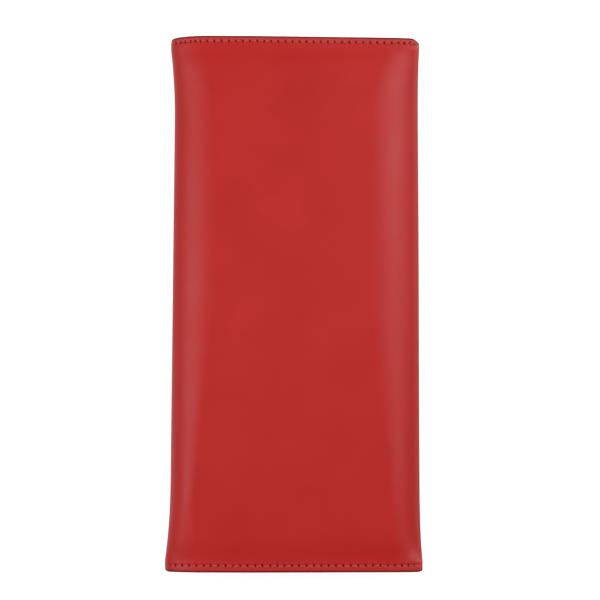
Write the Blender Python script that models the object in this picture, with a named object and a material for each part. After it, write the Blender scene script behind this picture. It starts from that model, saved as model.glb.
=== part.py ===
# A bifold travel document holder, closed and lying on its back cover.
# Units are metres. X runs from the spine to the fore-edge, Y along the length and Z up.
#
# One leather strip makes the whole outside. Its two ends are turned in at the fore-edges as
# flaps, and only the short edges are sewn, so each flap is a sleeve whose mouth faces the
# spine. The sewn ends are pressed flat while the folds stay round between them. A flat fold
# reaches further out than a round one, and that draws the waisted outline of the holder.
#
# Both leaves are worked out as depths below their own outer face, so one set of formulas
# makes the back leaf, and its mirror image across the middle makes the front leaf.

import math

import bmesh
import bpy

# Overall sizes of the closed holder
LENGTH = 0.240
WIDTH = 0.1104  # at mid-length

# Thickness of each layer of a leaf, from the outside in
LEATHER = 0.0010
PADDING = 0.0010
PADDING_EDGE = 0.0002  # what is left of the padding at its skived edge
BOARD = 0.0006
LINING = 0.0003
SLEEVE_ROOM = 0.0043  # inside height of the document sleeves
CARD_LEATHER = 0.00045
TICKET_LEATHER = 0.0005
GAP = 0.0003  # clearance between two layers
LEAF_GAP = 0.0004  # clearance between the two closed leaves

# The sewn ends
SEAM_BAND = 0.005  # pressed flat, with the seam in it
SWELL = 0.035  # length over which a sleeve swells from the seam to its full height
SWELL_POWER = 2.2
END_DROP = 0.0006  # how far the seam lies below the edge of the board
BOARD_MARGIN = 0.014  # from the sewn edge to the board
LINING_MARGIN = 0.0008  # from the sewn edge to the lining

# Across the leaf. Each long side is rounded, narrower at the sewn ends and towards the bottom.
# Its fall is high * (1 - (1 - u ** power) ** (1 / fullness)), with u from 0 at the flat of the
# face to 1 where the side stands upright.
SPINE_WIDE = 0.020
SPINE_WIDE_END = 0.010  # at the sewn ends
SPINE_LOW = 0.6  # share by which it narrows towards the bottom
SPINE_POWER = 2.0
SPINE_FULLNESS = 1.8
SPINE_FLARE = 0.0020  # how much further the spine stands out where it is sewn flat
FORE_WIDE = 0.022
FORE_WIDE_END = 0.014
FORE_LOW = 0.5
FORE_POWER = 2.4
FORE_FULLNESS = 1.3
FORE_FLARE = 0.0011
CREASE_SPAN = 0.0099  # from the spine's outside to where the two crease planes meet
CREASE_ANGLE = math.radians(45)  # of a crease plane, from the cover's face
CREASE_GAP = 0.0003
MOUTH_INSET = 0.0025  # from there to the mouth of a sleeve
BOARD_INSET = 0.0020  # and to the board
BOARD_CLEARANCE = 0.0104  # from the fore-edge to the board, so that the fold stays round
LINING_CLEARANCE = 0.0077  # and to the lining
POCKET_CLEARANCE = 0.0047  # and to the pockets

# Rounded corners of the outline: along X and along Y
TOP_CORNER = (0.0050, 0.0024)
BOTTOM_CORNER = (0.0024, 0.0012)

# Pockets on the inner pages
CARD_POCKETS = 3
CARD_POCKET_HEIGHT = 0.052  # of the shortest one
CARD_STEP = 0.013
POCKET_MARGIN = 0.0018  # from the mouth of the sleeve, and from the sewn edge
TICKET_POCKET_HEIGHT = 0.176
PASS_POCKET_HEIGHT = 0.112
PASS_SLANT = 0.022  # rise of the slanted mouth across the pocket

CREASE_STEPS = 40  # halvings in which a crease is found on the round

# Number of flat facets
SWELL_FACETS = 7
ROUND_FACETS = 7  # of the spine's round, from a crease to the flat
SPINE_FACETS = 10  # between the two creases
FORE_FACETS = 9
UNDER_FACETS = 3
TAPER_FACETS = 4  # at each side of the padding

# Depths of the layers below a leaf's outer face, at mid-length
CROWN = PADDING - PADDING_EDGE
PADDING_TOP = LEATHER + GAP
PADDING_BASE = PADDING_TOP + PADDING
BOARD_TOP = PADDING_BASE + GAP
BOARD_BASE = BOARD_TOP + BOARD
LINING_TOP = BOARD_BASE + GAP
LINING_BASE = LINING_TOP + LINING
FLAP_TOP = LINING_BASE + SLEEVE_ROOM
FLAP_BASE = FLAP_TOP + LEATHER
CARD_PITCH = GAP + CARD_LEATHER
TICKET_PITCH = GAP + TICKET_LEATHER
FRONT_STACK = FLAP_BASE + CARD_POCKETS * CARD_PITCH
BACK_STACK = FLAP_BASE + 2 * TICKET_PITCH
THICKNESS = FRONT_STACK + LEAF_GAP + BACK_STACK

# Depths at the sewn ends, where the board and the padding have stopped
SEAM_FACE = CROWN + END_DROP
SEAM_LINING_TOP = SEAM_FACE + LEATHER + GAP
SEAM_FLAP_TOP = SEAM_LINING_TOP + LINING + GAP

MIDDLE = THICKNESS / 2
FOLD_RADIUS = (SEAM_FLAP_TOP + LEATHER - SEAM_FACE) / 2  # of the fold's lower quarter
CREASE_X = CREASE_SPAN - WIDTH / 2
MOUTH_X = CREASE_X + MOUTH_INSET
FLAT_LEFT = SPINE_WIDE - WIDTH / 2  # of the face, at mid-length
FLAT_RIGHT = WIDTH / 2 - FORE_WIDE
BOARD_LEFT = CREASE_X + BOARD_INSET
BOARD_RIGHT = WIDTH / 2 - BOARD_CLEARANCE
LINING_RIGHT = WIDTH / 2 - LINING_CLEARANCE
POCKET_RIGHT = WIDTH / 2 - POCKET_CLEARANCE


def clear_scene():
    for obj in list(bpy.data.objects):
        bpy.data.objects.remove(obj, do_unlink=True)


def make_material(name, colour, roughness, metallic=0.0):
    material = bpy.data.materials.new(name)
    material.use_nodes = True
    shader = material.node_tree.nodes["Principled BSDF"]
    shader.inputs["Base Color"].default_value = (*colour, 1.0)
    shader.inputs["Roughness"].default_value = roughness
    shader.inputs["Metallic"].default_value = metallic
    return material


def smooth(value):
    # The smooth step from 0 to 1
    value = min(max(value, 0.0), 1.0)
    return value * value * (3 - 2 * value)


def pressed(margin):
    # 1 in the sewn band, falling to 0 where the sleeve has its full height
    share = min(max((margin - SEAM_BAND) / SWELL, 0.0), 1.0)
    return (1 - share) ** SWELL_POWER


def past_board(margin):
    # 0 over the board, 1 in the sewn band
    return smooth((BOARD_MARGIN - margin) / (BOARD_MARGIN - SEAM_BAND))


def crown_depth(margin):
    # The outer face in the middle of the leaf, below its height at mid-length
    return CROWN * pressed(margin) + END_DROP * past_board(margin)


def narrowed(wide, wide_end, low, margin, end):
    # A side's width at this section
    flat = pressed(margin)
    towards_bottom = max(-end * (1 - 2 * margin / LENGTH), 0.0) * (1 - flat)
    return (wide + (wide_end - wide) * flat) * (1 - low * towards_bottom)


def spine_wide(margin, end):
    return narrowed(SPINE_WIDE, SPINE_WIDE_END, SPINE_LOW, margin, end)


def fore_wide(margin, end):
    return narrowed(FORE_WIDE, FORE_WIDE_END, FORE_LOW, margin, end)


def spine_reach(margin):
    return WIDTH / 2 + SPINE_FLARE * pressed(margin)


def fore_reach(margin):
    return WIDTH / 2 + FORE_FLARE * pressed(margin)


def spine_high(margin):
    # From the face down to mid-spine
    return MIDDLE - crown_depth(margin)


def fore_high(margin):
    # From the face down to where the fold stands upright
    return flap_base(margin) - FOLD_RADIUS - crown_depth(margin)


def side_fall(share, high, power, fullness):
    share = min(max(share, 0.0), 1.0)
    return high * (1 - (1 - share**power) ** (1 / fullness))


def face_depth(x, margin, end):
    # The outer face, flat in the middle and rounded towards both long edges
    spine_share = 1 - (spine_reach(margin) + x) / spine_wide(margin, end)
    fore_share = 1 - (fore_reach(margin) - x) / fore_wide(margin, end)
    fall = side_fall(spine_share, spine_high(margin), SPINE_POWER, SPINE_FULLNESS)
    fall += side_fall(fore_share, fore_high(margin), FORE_POWER, FORE_FULLNESS)
    return crown_depth(margin) + fall


def side_point(turn, inset, wide, high, power, fullness):
    # How far along a side's rounding and how far below the face, this far inside the leather.
    # The turn is 0 at the flat and a quarter where the side stands upright.
    along = math.sin(turn) ** (2 / power)
    fall = 1 - math.cos(turn) ** (2 / fullness)
    return (wide - inset) * along, inset + (high - inset) * fall


def flap_top(margin):
    return FLAP_TOP + (SEAM_FLAP_TOP - FLAP_TOP) * pressed(margin)


def flap_base(margin):
    return flap_top(margin) + LEATHER


def lining_top(margin):
    return LINING_TOP + (SEAM_LINING_TOP - LINING_TOP) * past_board(margin)


def spine_point(margin, end, inset, turn):
    # (x, depth) on the spine's round. Past a quarter turn it is the mirror image.
    wide = spine_wide(margin, end)
    near = min(turn, math.pi - turn)
    along, fall = side_point(near, inset, wide, spine_high(margin), SPINE_POWER, SPINE_FULLNESS)
    depth = crown_depth(margin) + fall
    return wide - spine_reach(margin) - along, depth if turn == near else THICKNESS - depth


def fore_point(margin, end, inset, turn):
    # (x, depth) on the upper part of the fold
    wide = fore_wide(margin, end)
    along, fall = side_point(turn, inset, wide, fore_high(margin), FORE_POWER, FORE_FULLNESS)
    return fore_reach(margin) - wide + along, crown_depth(margin) + fall


def crease_turn(margin, end, inset):
    # Where the crease plane cuts the round. The plane stands on the middle line at CREASE_X.
    low, high = 0.0, math.pi / 2
    for _ in range(CREASE_STEPS):
        turn = (low + high) / 2
        x, depth = spine_point(margin, end, inset, turn)
        if CREASE_X - x < (MIDDLE - depth) * math.tan(CREASE_ANGLE):
            low = turn
        else:
            high = turn
    return low


def crease_reach():
    # The hinge line lies on the leather where the crease stands out furthest
    reach = []
    for margin, end in full_length():
        turn = crease_turn(margin, end, 0.0)
        reach.append(CREASE_X - spine_point(margin, end, 0.0, turn)[0])
    return max(reach)


def margins(first=0.0):
    # Distances from a sewn edge of the sections that follow the swelling of a sleeve
    band = [first + (SEAM_BAND - first) * step / 2 for step in range(3)]
    board = [SEAM_BAND + (BOARD_MARGIN - SEAM_BAND) * step / 2 for step in (1, 2)]
    left = SEAM_BAND + SWELL - BOARD_MARGIN
    steps = SWELL_FACETS - 2
    swelling = [BOARD_MARGIN + left * (step / steps) ** 1.2 for step in range(1, steps + 1)]
    return band + board + swelling


def end_setback(x, corner):
    # How far a rounded corner takes the sewn edge back at this x
    along, back = corner
    outer = fore_reach(0.0) if x > 0 else spine_reach(0.0)
    share = min(max((abs(x) - outer + along) / along, 0.0), 1.0)
    return back * share**2


def full_length(first=0.0):
    # (margin, end) of each section from the bottom edge to the top edge
    half = margins(first)
    bottom = [(margin, -1) for margin in half + [LENGTH / 2]]
    return bottom + [(margin, 1) for margin in reversed(half)]


def place(x, margin, end, depth, front):
    # The point at a distance from one sewn edge, with that edge's rounded corners
    setback = end_setback(x, TOP_CORNER if end > 0 else BOTTOM_CORNER)
    setback *= max(1 - margin / SEAM_BAND, 0.0)
    y = end * (LENGTH / 2 - margin - setback)
    return x, y, THICKNESS - depth if front else depth


def hang(obj, parent):
    # The object stays where it is, and from now on it follows its parent
    obj.parent = parent
    above = parent
    while above:
        obj.location -= above.location
        above = above.parent


def loft(name, rings, material, parent):
    # A solid through closed cross-sections with as many points each, capped at both ends
    mesh = bmesh.new()
    rows = [[mesh.verts.new(point) for point in ring] for ring in rings]
    for row in rows:
        for start, end in zip(row, row[1:] + row[:1]):
            mesh.edges.new((start, end))
    for low, high in zip(rows, rows[1:]):
        for index in range(len(low)):
            after = (index + 1) % len(low)
            mesh.faces.new((low[index], low[after], high[after], high[index]))
    for row in (rows[0], rows[-1]):
        # Each cross-section is a band, so its cap is filled from one side to the other
        half = len(row) // 2
        for index in range(half - 1):
            other = len(row) - 1 - index
            mesh.faces.new((row[index], row[index + 1], row[other - 1], row[other]))
    bmesh.ops.recalc_face_normals(mesh, faces=mesh.faces)
    data = bpy.data.meshes.new(name)
    mesh.to_mesh(data)
    mesh.free()
    data.shade_smooth()
    data.set_sharp_from_angle(angle=math.radians(35))
    data.materials.append(material)
    obj = bpy.data.objects.new(name, data)
    bpy.context.scene.collection.objects.link(obj)
    hang(obj, parent)
    return obj


def band(upper, lower):
    # The closed cross-section between two lines with as many points each
    return upper + lower[::-1]


def loft_leaf(name, section, front, material, parent, stations=None):
    # A leaf's piece whose cross-section is given as (x, depth) points at each station
    rings = []
    for margin, end in stations or full_length():
        rings.append([place(x, margin, end, depth, front) for x, depth in section(margin, end)])
    return loft(name, rings, material, parent)


def round_line(margin, end, inset):
    # From the crease to where the face starts
    turn = crease_turn(margin, end, inset) - CREASE_GAP / 2 / CREASE_SPAN
    points = []
    for step in range(ROUND_FACETS + 1):
        points.append(spine_point(margin, end, inset, turn * (1 - step / ROUND_FACETS)))
    return points


def cover_line(margin, end, inset):
    # The leather's outer line, or its inner one, from the crease round the fold to the mouth
    points = round_line(margin, end, inset)
    for step in range(FORE_FACETS + 1):
        points.append(fore_point(margin, end, inset, math.pi / 2 * step / FORE_FACETS))
    for step in range(1, UNDER_FACETS + 1):
        turn = math.pi / 2 * step / UNDER_FACETS
        x = fore_reach(margin) - FOLD_RADIUS + (FOLD_RADIUS - inset) * math.cos(turn)
        depth = flap_base(margin) - FOLD_RADIUS + (FOLD_RADIUS - inset) * math.sin(turn)
        points.append((x, depth))
    points.append((MOUTH_X, flap_base(margin) - inset))
    return points


def make_cover_leather(name, front, material, parent):
    # The outer face, the fore-edge fold and the flap that makes the sleeve, in one piece
    def section(margin, end):
        return band(cover_line(margin, end, 0.0), cover_line(margin, end, LEATHER))

    return loft_leaf(name, section, front, material, parent)


def lining_line(margin, end, inset, depth):
    # Flat over the board, then behind the leather up to the crease
    behind = round_line(margin, end, inset)
    points = [(x, max(round_depth, depth)) for x, round_depth in behind]
    points.append((LINING_RIGHT, depth))
    return points


def make_lining(name, front, material, parent):
    def section(margin, end):
        top = lining_top(margin)
        behind = LEATHER + GAP
        return band(
            lining_line(margin, end, behind, top),
            lining_line(margin, end, behind + LINING, top + LINING),
        )

    stations = full_length(LINING_MARGIN)
    return loft_leaf(name, section, front, material, parent, stations)


def board_stations():
    return [station for station in full_length() if station[0] >= BOARD_MARGIN - 1e-9]


def make_padding(name, front, material, parent):
    # Crowned foam between the leather and the board. It ends where the face has fallen as far
    # as its skived edge is thin.
    spine_share = (1 - (1 - CROWN / spine_high(LENGTH / 2)) ** SPINE_FULLNESS) ** (1 / SPINE_POWER)
    fore_share = (1 - (1 - CROWN / fore_high(LENGTH / 2)) ** FORE_FULLNESS) ** (1 / FORE_POWER)
    across = []
    for step in range(TAPER_FACETS + 1):
        across.append(FLAT_LEFT - SPINE_WIDE * spine_share * (1 - step / TAPER_FACETS))
    for step in range(TAPER_FACETS + 1):
        across.append(FLAT_RIGHT + FORE_WIDE * fore_share * step / TAPER_FACETS)

    def section(margin, end):
        top = [(x, face_depth(x, margin, end) + PADDING_TOP) for x in across]
        return band(top, [(x, PADDING_BASE) for x in across])

    return loft_leaf(name, section, front, material, parent, board_stations())


def make_board(name, front, material, parent):
    def section(*_):
        return band(
            [(BOARD_LEFT, BOARD_TOP), (BOARD_RIGHT, BOARD_TOP)],
            [(BOARD_LEFT, BOARD_BASE), (BOARD_RIGHT, BOARD_BASE)],
        )

    stations = [(BOARD_MARGIN, -1), (BOARD_MARGIN, 1)]
    return loft_leaf(name, section, front, material, parent, stations)


def make_pocket(name, front, layer, thickness, height, slant, material, parent):
    # A leather pocket on the inner page, sewn in at the bottom edge and open at its top.
    # Its mouth rises by the slant from the spine side to the fore-edge side.
    left = MOUTH_X + POCKET_MARGIN
    right = POCKET_RIGHT
    columns = (left, right)
    low = [margin for margin in margins(POCKET_MARGIN) if margin < height - slant]
    rings = []
    for margin in low + [None]:
        upper = []
        lower = []
        for x in columns:
            rise = slant * (x - left) / (right - left)
            distance = height - slant + rise if margin is None else margin
            depth = flap_base(min(distance, LENGTH - distance)) + layer * (GAP + thickness)
            y = distance - LENGTH / 2
            near = depth + GAP
            far = near + thickness
            upper.append((x, y, THICKNESS - near if front else near))
            lower.append((x, y, THICKNESS - far if front else far))
        rings.append(band(upper, lower))
    return loft(name, rings, material, parent)


def make_spine_piece(name, outer, thickness, first, material, parent):
    # The part of the round between the two creases, this far inside the leather's face
    rings = []
    for margin, end in full_length(first):
        ring = []
        for inset in (outer, outer + thickness):
            start = crease_turn(margin, end, inset) + CREASE_GAP / 2 / CREASE_SPAN
            line = []
            for step in range(SPINE_FACETS + 1):
                turn = start + (math.pi - 2 * start) * step / SPINE_FACETS
                x, depth = spine_point(margin, end, inset, turn)
                line.append(place(x, margin, end, depth, False))
            ring = band(ring, line) if ring else line
        rings.append(ring)
    return loft(name, rings, material, parent)


def make_hinge(name, height, parent):
    # An empty on a crease; the pieces beyond that crease hang from it
    hinge = bpy.data.objects.new(name, None)
    hinge.empty_display_size = WIDTH / 5
    hinge.location = (CREASE_X - crease_reach(), 0.0, height)
    bpy.context.scene.collection.objects.link(hinge)
    hang(hinge, parent)
    return hinge


def make_leaf(side, front, materials, parent):
    make_cover_leather(side + "_cover_leather", front, materials["leather"], parent)
    make_padding(side + "_padding", front, materials["foam"], parent)
    make_board(side + "_board", front, materials["board"], parent)
    make_lining(side + "_lining", front, materials["lining"], parent)


def make_holder():
    materials = {
        "leather": make_material("red_leather", (0.46, 0.0095, 0.008), 0.55),
        "foam": make_material("padding_foam", (0.75, 0.74, 0.70), 0.95),
        "board": make_material("stiffener_board", (0.36, 0.31, 0.25), 0.9),
        "lining": make_material("lining_cloth", (0.020, 0.019, 0.021), 0.85),
    }
    leather = materials["leather"]
    rise = crease_reach() / math.tan(CREASE_ANGLE)
    spine_hinge = make_hinge("spine_fold_axis", MIDDLE - rise, None)
    cover_hinge = make_hinge("cover_fold_axis", MIDDLE + rise, spine_hinge)

    make_leaf("back", False, materials, None)
    make_pocket(
        "ticket_pocket", False, 0, TICKET_LEATHER, TICKET_POCKET_HEIGHT, 0.0, leather, None
    )
    make_pocket(
        "boarding_pass_pocket",
        False,
        1,
        TICKET_LEATHER,
        PASS_POCKET_HEIGHT,
        PASS_SLANT,
        leather,
        None,
    )

    make_spine_piece("spine_leather", 0.0, LEATHER, 0.0, leather, spine_hinge)
    make_spine_piece(
        "spine_lining", LEATHER + GAP, LINING, LINING_MARGIN, materials["lining"], spine_hinge
    )

    make_leaf("front", True, materials, cover_hinge)
    for layer in range(CARD_POCKETS):
        height = CARD_POCKET_HEIGHT + (CARD_POCKETS - 1 - layer) * CARD_STEP
        name = "card_pocket_" + str(layer + 1)
        make_pocket(name, True, layer, CARD_LEATHER, height, 0.0, leather, cover_hinge)


clear_scene()
make_holder()
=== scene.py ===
# A travel document holder of smooth red leather, closed and lying on its back cover.
# Its short ends are sewn and pressed flat, and the folds between them stay round.
import math

import bpy
import numpy as np
from mathutils import Matrix, Vector


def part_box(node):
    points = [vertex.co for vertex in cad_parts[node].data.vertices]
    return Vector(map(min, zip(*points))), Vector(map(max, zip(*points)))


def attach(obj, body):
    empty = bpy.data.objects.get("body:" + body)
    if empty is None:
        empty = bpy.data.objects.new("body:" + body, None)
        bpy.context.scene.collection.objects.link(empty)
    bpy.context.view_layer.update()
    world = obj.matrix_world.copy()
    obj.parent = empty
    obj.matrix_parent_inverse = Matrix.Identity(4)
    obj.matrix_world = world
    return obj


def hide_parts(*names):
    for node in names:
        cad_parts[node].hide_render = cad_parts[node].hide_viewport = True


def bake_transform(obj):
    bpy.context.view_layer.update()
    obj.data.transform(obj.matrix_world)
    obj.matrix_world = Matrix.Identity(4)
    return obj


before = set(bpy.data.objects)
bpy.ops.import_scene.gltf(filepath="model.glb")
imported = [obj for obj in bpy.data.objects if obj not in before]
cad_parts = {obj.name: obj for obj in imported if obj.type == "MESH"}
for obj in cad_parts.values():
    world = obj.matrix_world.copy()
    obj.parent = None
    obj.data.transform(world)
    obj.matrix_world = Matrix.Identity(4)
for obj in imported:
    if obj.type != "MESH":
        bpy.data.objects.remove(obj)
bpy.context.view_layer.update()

mm = 0.001
topEnd = 1
bottomEnd = -1

print("holder: reading the packed sizes")
coverLow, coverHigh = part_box("front_cover_leather")
boardLow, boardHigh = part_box("front_board")
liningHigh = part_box("front_lining")[1]
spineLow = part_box("spine_leather")[0]
paddingLow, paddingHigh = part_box("front_padding")
pocketLow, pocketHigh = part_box("card_pocket_1")

# One leaf, as depths below the crown of its own outer face
leaf = {
    "thickness": coverHigh[2],  # of the closed holder
    "halfLength": coverHigh[1],
    "leather": 1.0 * mm,
    "skived": 0.2,  # share pared off where it turns in
    "lining": 0.3 * mm,
    "gap": 0.3 * mm,
    "seamBand": 5.0 * mm,  # pressed flat at each sewn end
    "swell": 35.0 * mm,  # over which the sleeve reaches its full height
    "swellPower": 2.2,
    "flapPower": 2.4,  # the flap and its fold swell sooner than the face
    "crown": 0.8 * mm,  # lift of the face by its padding
    "endDrop": 0.6 * mm,  # the sewn end lies this far below the board's edge
    "spineFlare": 2.0 * mm,  # the spine stands out further where it is sewn flat
    "foreFlare": 0.8 * mm,  # and so does the fore-edge fold
    "topShort": 0.5 * mm,  # though less at the top edge
    "flapEnd": 4.3 * mm,  # depth of the flap at the sewn ends
    "liningEnd": 2.7 * mm,  # depth of the lining there
    "liningMargin": 0.8 * mm,  # from the sewn edge to the lining
    "mouthBack": 0.5 * mm,  # a sleeve's mouth lies this far in from the board
    "edgeRadius": 0.3 * mm,  # of every cut edge
    "glued": 0.75 * mm,  # width over which the layers meet at the sewn edge
}
edgeSteps = np.array([0, 0.05, 0.13, 0.25, 0.42, 0.65, 0.95]) * mm  # rows beside a cut edge
sharpAngle = math.radians(50)  # faces that meet at more than this keep a sharp edge
spineSide = {
    "wide": 20.0 * mm,  # from the face's flat to the spine
    "wideEnd": 18.0 * mm,  # the same at the sewn ends
    "low": 0.6,  # share by which it narrows towards the bottom edge
    "power": (2.0, 2.0),  # how softly the rounding leaves the face, and at the sewn ends
    "round": (1.8, 2.5),  # how full it is where it stands upright
}
foreSide = {
    "wide": 22.0 * mm,
    "wideEnd": 14.0 * mm,
    "low": 0.5,
    "power": (2.0, 2.0),
    "round": (1.25, 1.25),
}
middle = leaf["thickness"] / 2
boardMargin = leaf["halfLength"] - boardHigh[1]
mouthX = boardLow[0] + leaf["mouthBack"]
flapDepth = leaf["thickness"] - coverLow[2]
liningDepth = leaf["thickness"] - boardLow[2] + leaf["gap"]
boardDepth = leaf["thickness"] - boardHigh[2]
foldRadius = (leaf["flapEnd"] - leaf["crown"] - leaf["endDrop"]) / 2


def easeStep(share):
    # 3 s squared less 2 s cubed, from 0 to 1
    share = np.clip(share, 0.0, 1.0)
    return share * share * (3 - 2 * share)


def bump(distance, width):
    # A bell curve, 1 at no distance
    return np.exp(-((distance / width) ** 2))


def pressed(margin):
    # 1 in the sewn band, and a power of the distance left to the full swelling after it
    share = np.clip((margin - leaf["seamBand"]) / leaf["swell"], 0.0, 1.0)
    return (1 - share) ** leaf["swellPower"]


def pastBoard(margin):
    # 0 over the board and 1 in the sewn band
    return easeStep((boardMargin - margin) / (boardMargin - leaf["seamBand"]))


def flapBase(margin):
    return flapDepth + (leaf["flapEnd"] - flapDepth) * pressed(margin) ** leaf["flapPower"]


def liningTop(margin):
    return liningDepth + (leaf["liningEnd"] - liningDepth) * pastBoard(margin)


def leafShape(margin, end):
    # The face's depth in the middle and, for each long side, how far the leaf reaches, and how
    # high, wide, soft and full its rounding is. Towards the bottom both roundings draw narrower.
    flat = pressed(margin)
    crown = leaf["crown"] * flat + leaf["endDrop"] * pastBoard(margin)
    towardsBottom = np.clip(-end * (1 - margin / leaf["halfLength"]), 0, 1) * (1 - flat)
    shapes = []
    for side in (spineSide, foreSide):
        wide = side["wide"] + (side["wideEnd"] - side["wide"]) * flat
        wide = wide * (1 - side["low"] * towardsBottom)
        power, full = (side[key][0] + (side[key][1] - side[key][0]) * flat for key in ("power", "round"))
        shapes.append((wide, power, full))
    spineReached = -spineLow[0] - leaf["spineFlare"] * (1 - flat)
    foreReached = coverHigh[0] - leaf["foreFlare"] * (1 - flat) - leaf["topShort"] * flat * (end > 0)
    foreHigh = flapBase(margin) - crown - foldRadius
    return crown, (spineReached, middle - crown, *shapes[0]), (foreReached, foreHigh, *shapes[1])


def faceDepth(x, margin, end):
    # The face's fall at each long side, by 1 - (1 - u^power)^(1/round), with u from 0 at the
    # flat to 1 at the furthest reach
    crown, spineShape, foreShape = leafShape(margin, end)
    depth = crown + 0 * x
    for (reach, high, wide, power, full), towards in ((spineShape, -x), (foreShape, x)):
        share = np.clip((towards - reach + wide) / wide, 0, 1)
        depth = depth + high * (1 - (1 - share**power) ** (1 / full))
    return depth


def rounding(turn, power, full):
    # The same curve by its turn, from none at the flat to a quarter where it stands upright
    turn = np.clip(turn, 0, 1) * math.pi / 2
    return np.sin(turn) ** (2 / power), 1 - np.cos(turn) ** (2 / full)


def coverLine(margin, end, place, inset=0.0):
    # The leather's outer line in a section, or one further in, as x and depth for place from 0
    # to 5: 0 to 1 from mid-spine up to the face, 1 to 2 the face, 2 to 3 down to the upright
    # point of the fold, 3 to 4 a quarter circle, and 4 to 5 the flap
    crown, spineShape, foreShape = leafShape(margin, end)
    spineReached, spineHigh, spineWide, *curve = spineShape
    along, fall = rounding(1 - place, *curve)
    roundAt = spineWide - spineReached - (spineWide - inset) * along
    roundDepth = crown + inset + (spineHigh - inset) * fall

    foreReached, foreHigh, foreWide, *curve = foreShape
    faceFrom = spineWide - spineReached
    faceTo = foreReached - foreWide
    faceAt = faceFrom + (faceTo - faceFrom) * (place - 1)

    along, fall = rounding(place - 2, *curve)
    foldAt = faceTo + (foreWide - inset) * along
    foldDepth = crown + inset + (foreHigh - inset) * fall

    turn = math.pi / 2 * (place - 3)
    flap = flapBase(margin)
    underAt = foreReached - foldRadius + (foldRadius - inset) * np.cos(turn)
    underDepth = flap - foldRadius + (foldRadius - inset) * np.sin(turn)
    flapFrom = foreReached - foldRadius
    flapAt = flapFrom + (mouthX - flapFrom) * (place - 4)

    parts = [place < 1, place < 2, place < 3, place < 4]
    x = np.select(parts, [roundAt, faceAt, foldAt, underAt], flapAt)
    level = crown + inset + 0 * place
    depth = np.select(parts, [roundDepth, level, foldDepth, underDepth], flap - inset + 0 * place)
    return x, depth


def coverNormal(margin, end, place):
    # The line's direction by central difference, turned a quarter outwards
    step = 0.002
    lowX, lowDepth = coverLine(margin, end, np.clip(place - step, 0, 5))
    highX, highDepth = coverLine(margin, end, np.clip(place + step, 0, 5))
    size = np.hypot(highX - lowX, highDepth - lowDepth)
    return (highDepth - lowDepth) / size, (lowX - highX) / size


outline = {
    "topSpine": (4.0 * mm, 0.1 * mm),  # each corner's rounding along x, and back along y
    "topFore": (4.4 * mm, 3.0 * mm),
    "bottomSpine": (2.4 * mm, 0.8 * mm),
    "bottomFore": (2.6 * mm, 0.8 * mm),
    "skewFrom": -20.0 * mm,  # from here to the fore-edge the top edge falls a little
    "skew": 0.75 * mm,
    "bottomSkew": 0.45 * mm,  # and the bottom edge rises
}


def toSpace(x, depth, margin, end, front):
    # Margins run in from the sewn edge. A corner's setback grows with the square of the way
    # into the corner and fades over the sewn band.
    corner, back = (
        np.where(
            end > 0,
            np.where(x > 0, outline["topFore"][part], outline["topSpine"][part]),
            np.where(x > 0, outline["bottomFore"][part], outline["bottomSpine"][part]),
        )
        for part in (0, 1)
    )
    outer = np.where(x > 0, coverHigh[0], -spineLow[0])
    share = np.clip((np.abs(x) - outer + corner) / corner, 0, 1)
    setback = back * share**2 * np.clip(1 - margin / leaf["seamBand"], 0, 1)
    y = end * (leaf["halfLength"] - margin - setback)
    lean = np.clip((x - outline["skewFrom"]) / (coverHigh[0] - outline["skewFrom"]), 0, 1)
    towardsTop = np.clip(0.5 + y / leaf["halfLength"] / 2, 0, 1)
    y = y - lean * (outline["skew"] * towardsTop - outline["bottomSkew"] * (1 - towardsTop))
    z = leaf["thickness"] - depth if front else depth
    return np.stack(np.broadcast_arrays(x, y, z), axis=-1)


def quads(ids):
    corners = [ids[:-1, :-1], ids[:-1, 1:], ids[1:, 1:], ids[1:, :-1]]
    return np.stack(corners, axis=-1).reshape(-1, 4)


def closedSheet(outer, outerAt, inner, innerAt):
    # An outer and an inner grid with as many rows, joined all round. Along the short edges the
    # two lines can have different points, so each edge makes a triangle with the nearest point
    # of the other line. The finish is 0 on the outside, 1 on the inside and 2 on the edges.
    outerIds = np.arange(outer.shape[0] * outer.shape[1]).reshape(outer.shape[:2])
    innerIds = np.arange(inner.shape[0] * inner.shape[1]).reshape(inner.shape[:2]) + outerIds.size
    outerMid = (outerAt[1:] + outerAt[:-1]) / 2
    innerMid = (innerAt[1:] + innerAt[:-1]) / 2
    besideOuter = np.searchsorted(innerMid, outerMid, side="left")
    besideInner = np.searchsorted(outerMid, innerMid, side="right")
    groups = [quads(outerIds), quads(innerIds)[:, ::-1]]
    for column, order in ((0, 1), (-1, -1)):
        wall = [outerIds[:-1, column], outerIds[1:, column]]
        wall += [innerIds[1:, column], innerIds[:-1, column]]
        groups.append(np.stack(wall, axis=-1)[:, ::order])
    for row, order in ((0, 1), (-1, -1)):
        line = outerIds[row]
        other = innerIds[row]
        groups.append(np.stack([line[1:], line[:-1], other[besideOuter]], axis=-1)[:, ::order])
        groups.append(np.stack([other[:-1], other[1:], line[besideInner]], axis=-1)[:, ::order])
    finish = [np.full(len(group), min(kind, 2)) for kind, group in enumerate(groups)]
    points = np.concatenate([outer.reshape(-1, 3), inner.reshape(-1, 3)])
    return points, groups, np.concatenate(finish)


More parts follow.
